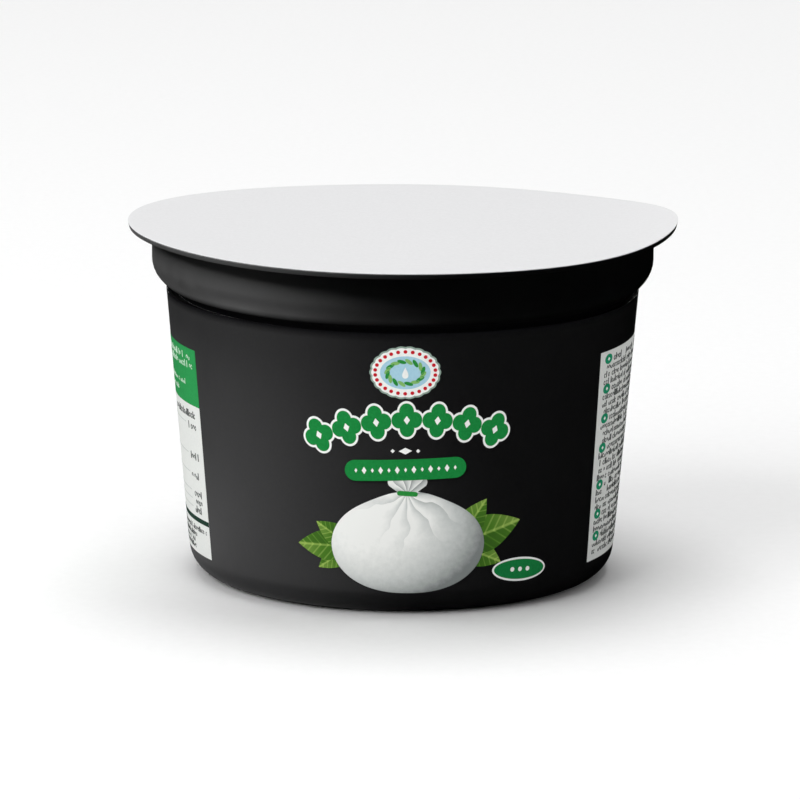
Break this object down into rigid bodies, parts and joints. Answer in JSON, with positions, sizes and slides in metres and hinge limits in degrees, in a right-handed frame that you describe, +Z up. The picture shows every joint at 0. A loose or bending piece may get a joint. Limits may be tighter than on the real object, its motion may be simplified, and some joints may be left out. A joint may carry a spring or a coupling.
{
  "type": "sealed cheese pot",
  "caption": "Shut round black plastic pot for soft cheese, with a tapered wall, a rolled shoulder under a flat sealing flange, and a white peel-off lid.",
  "frame": {"origin": "middle of the base, on the surface that the pot stands on", "axes": "+Z up along the pot's axis, -Y towards the printed front, +X to the right of the front as seen by someone facing it"},
  "size_m": [0.095, 0.095, 0.0624],
  "materials": {
    "pot": "satin moulded black",
    "lid": "white lacquered peel-off film"
  },
  "bodies": {
    "root": {"pot": "pot", "lid": "lid"}
  },
  "joints": []
}
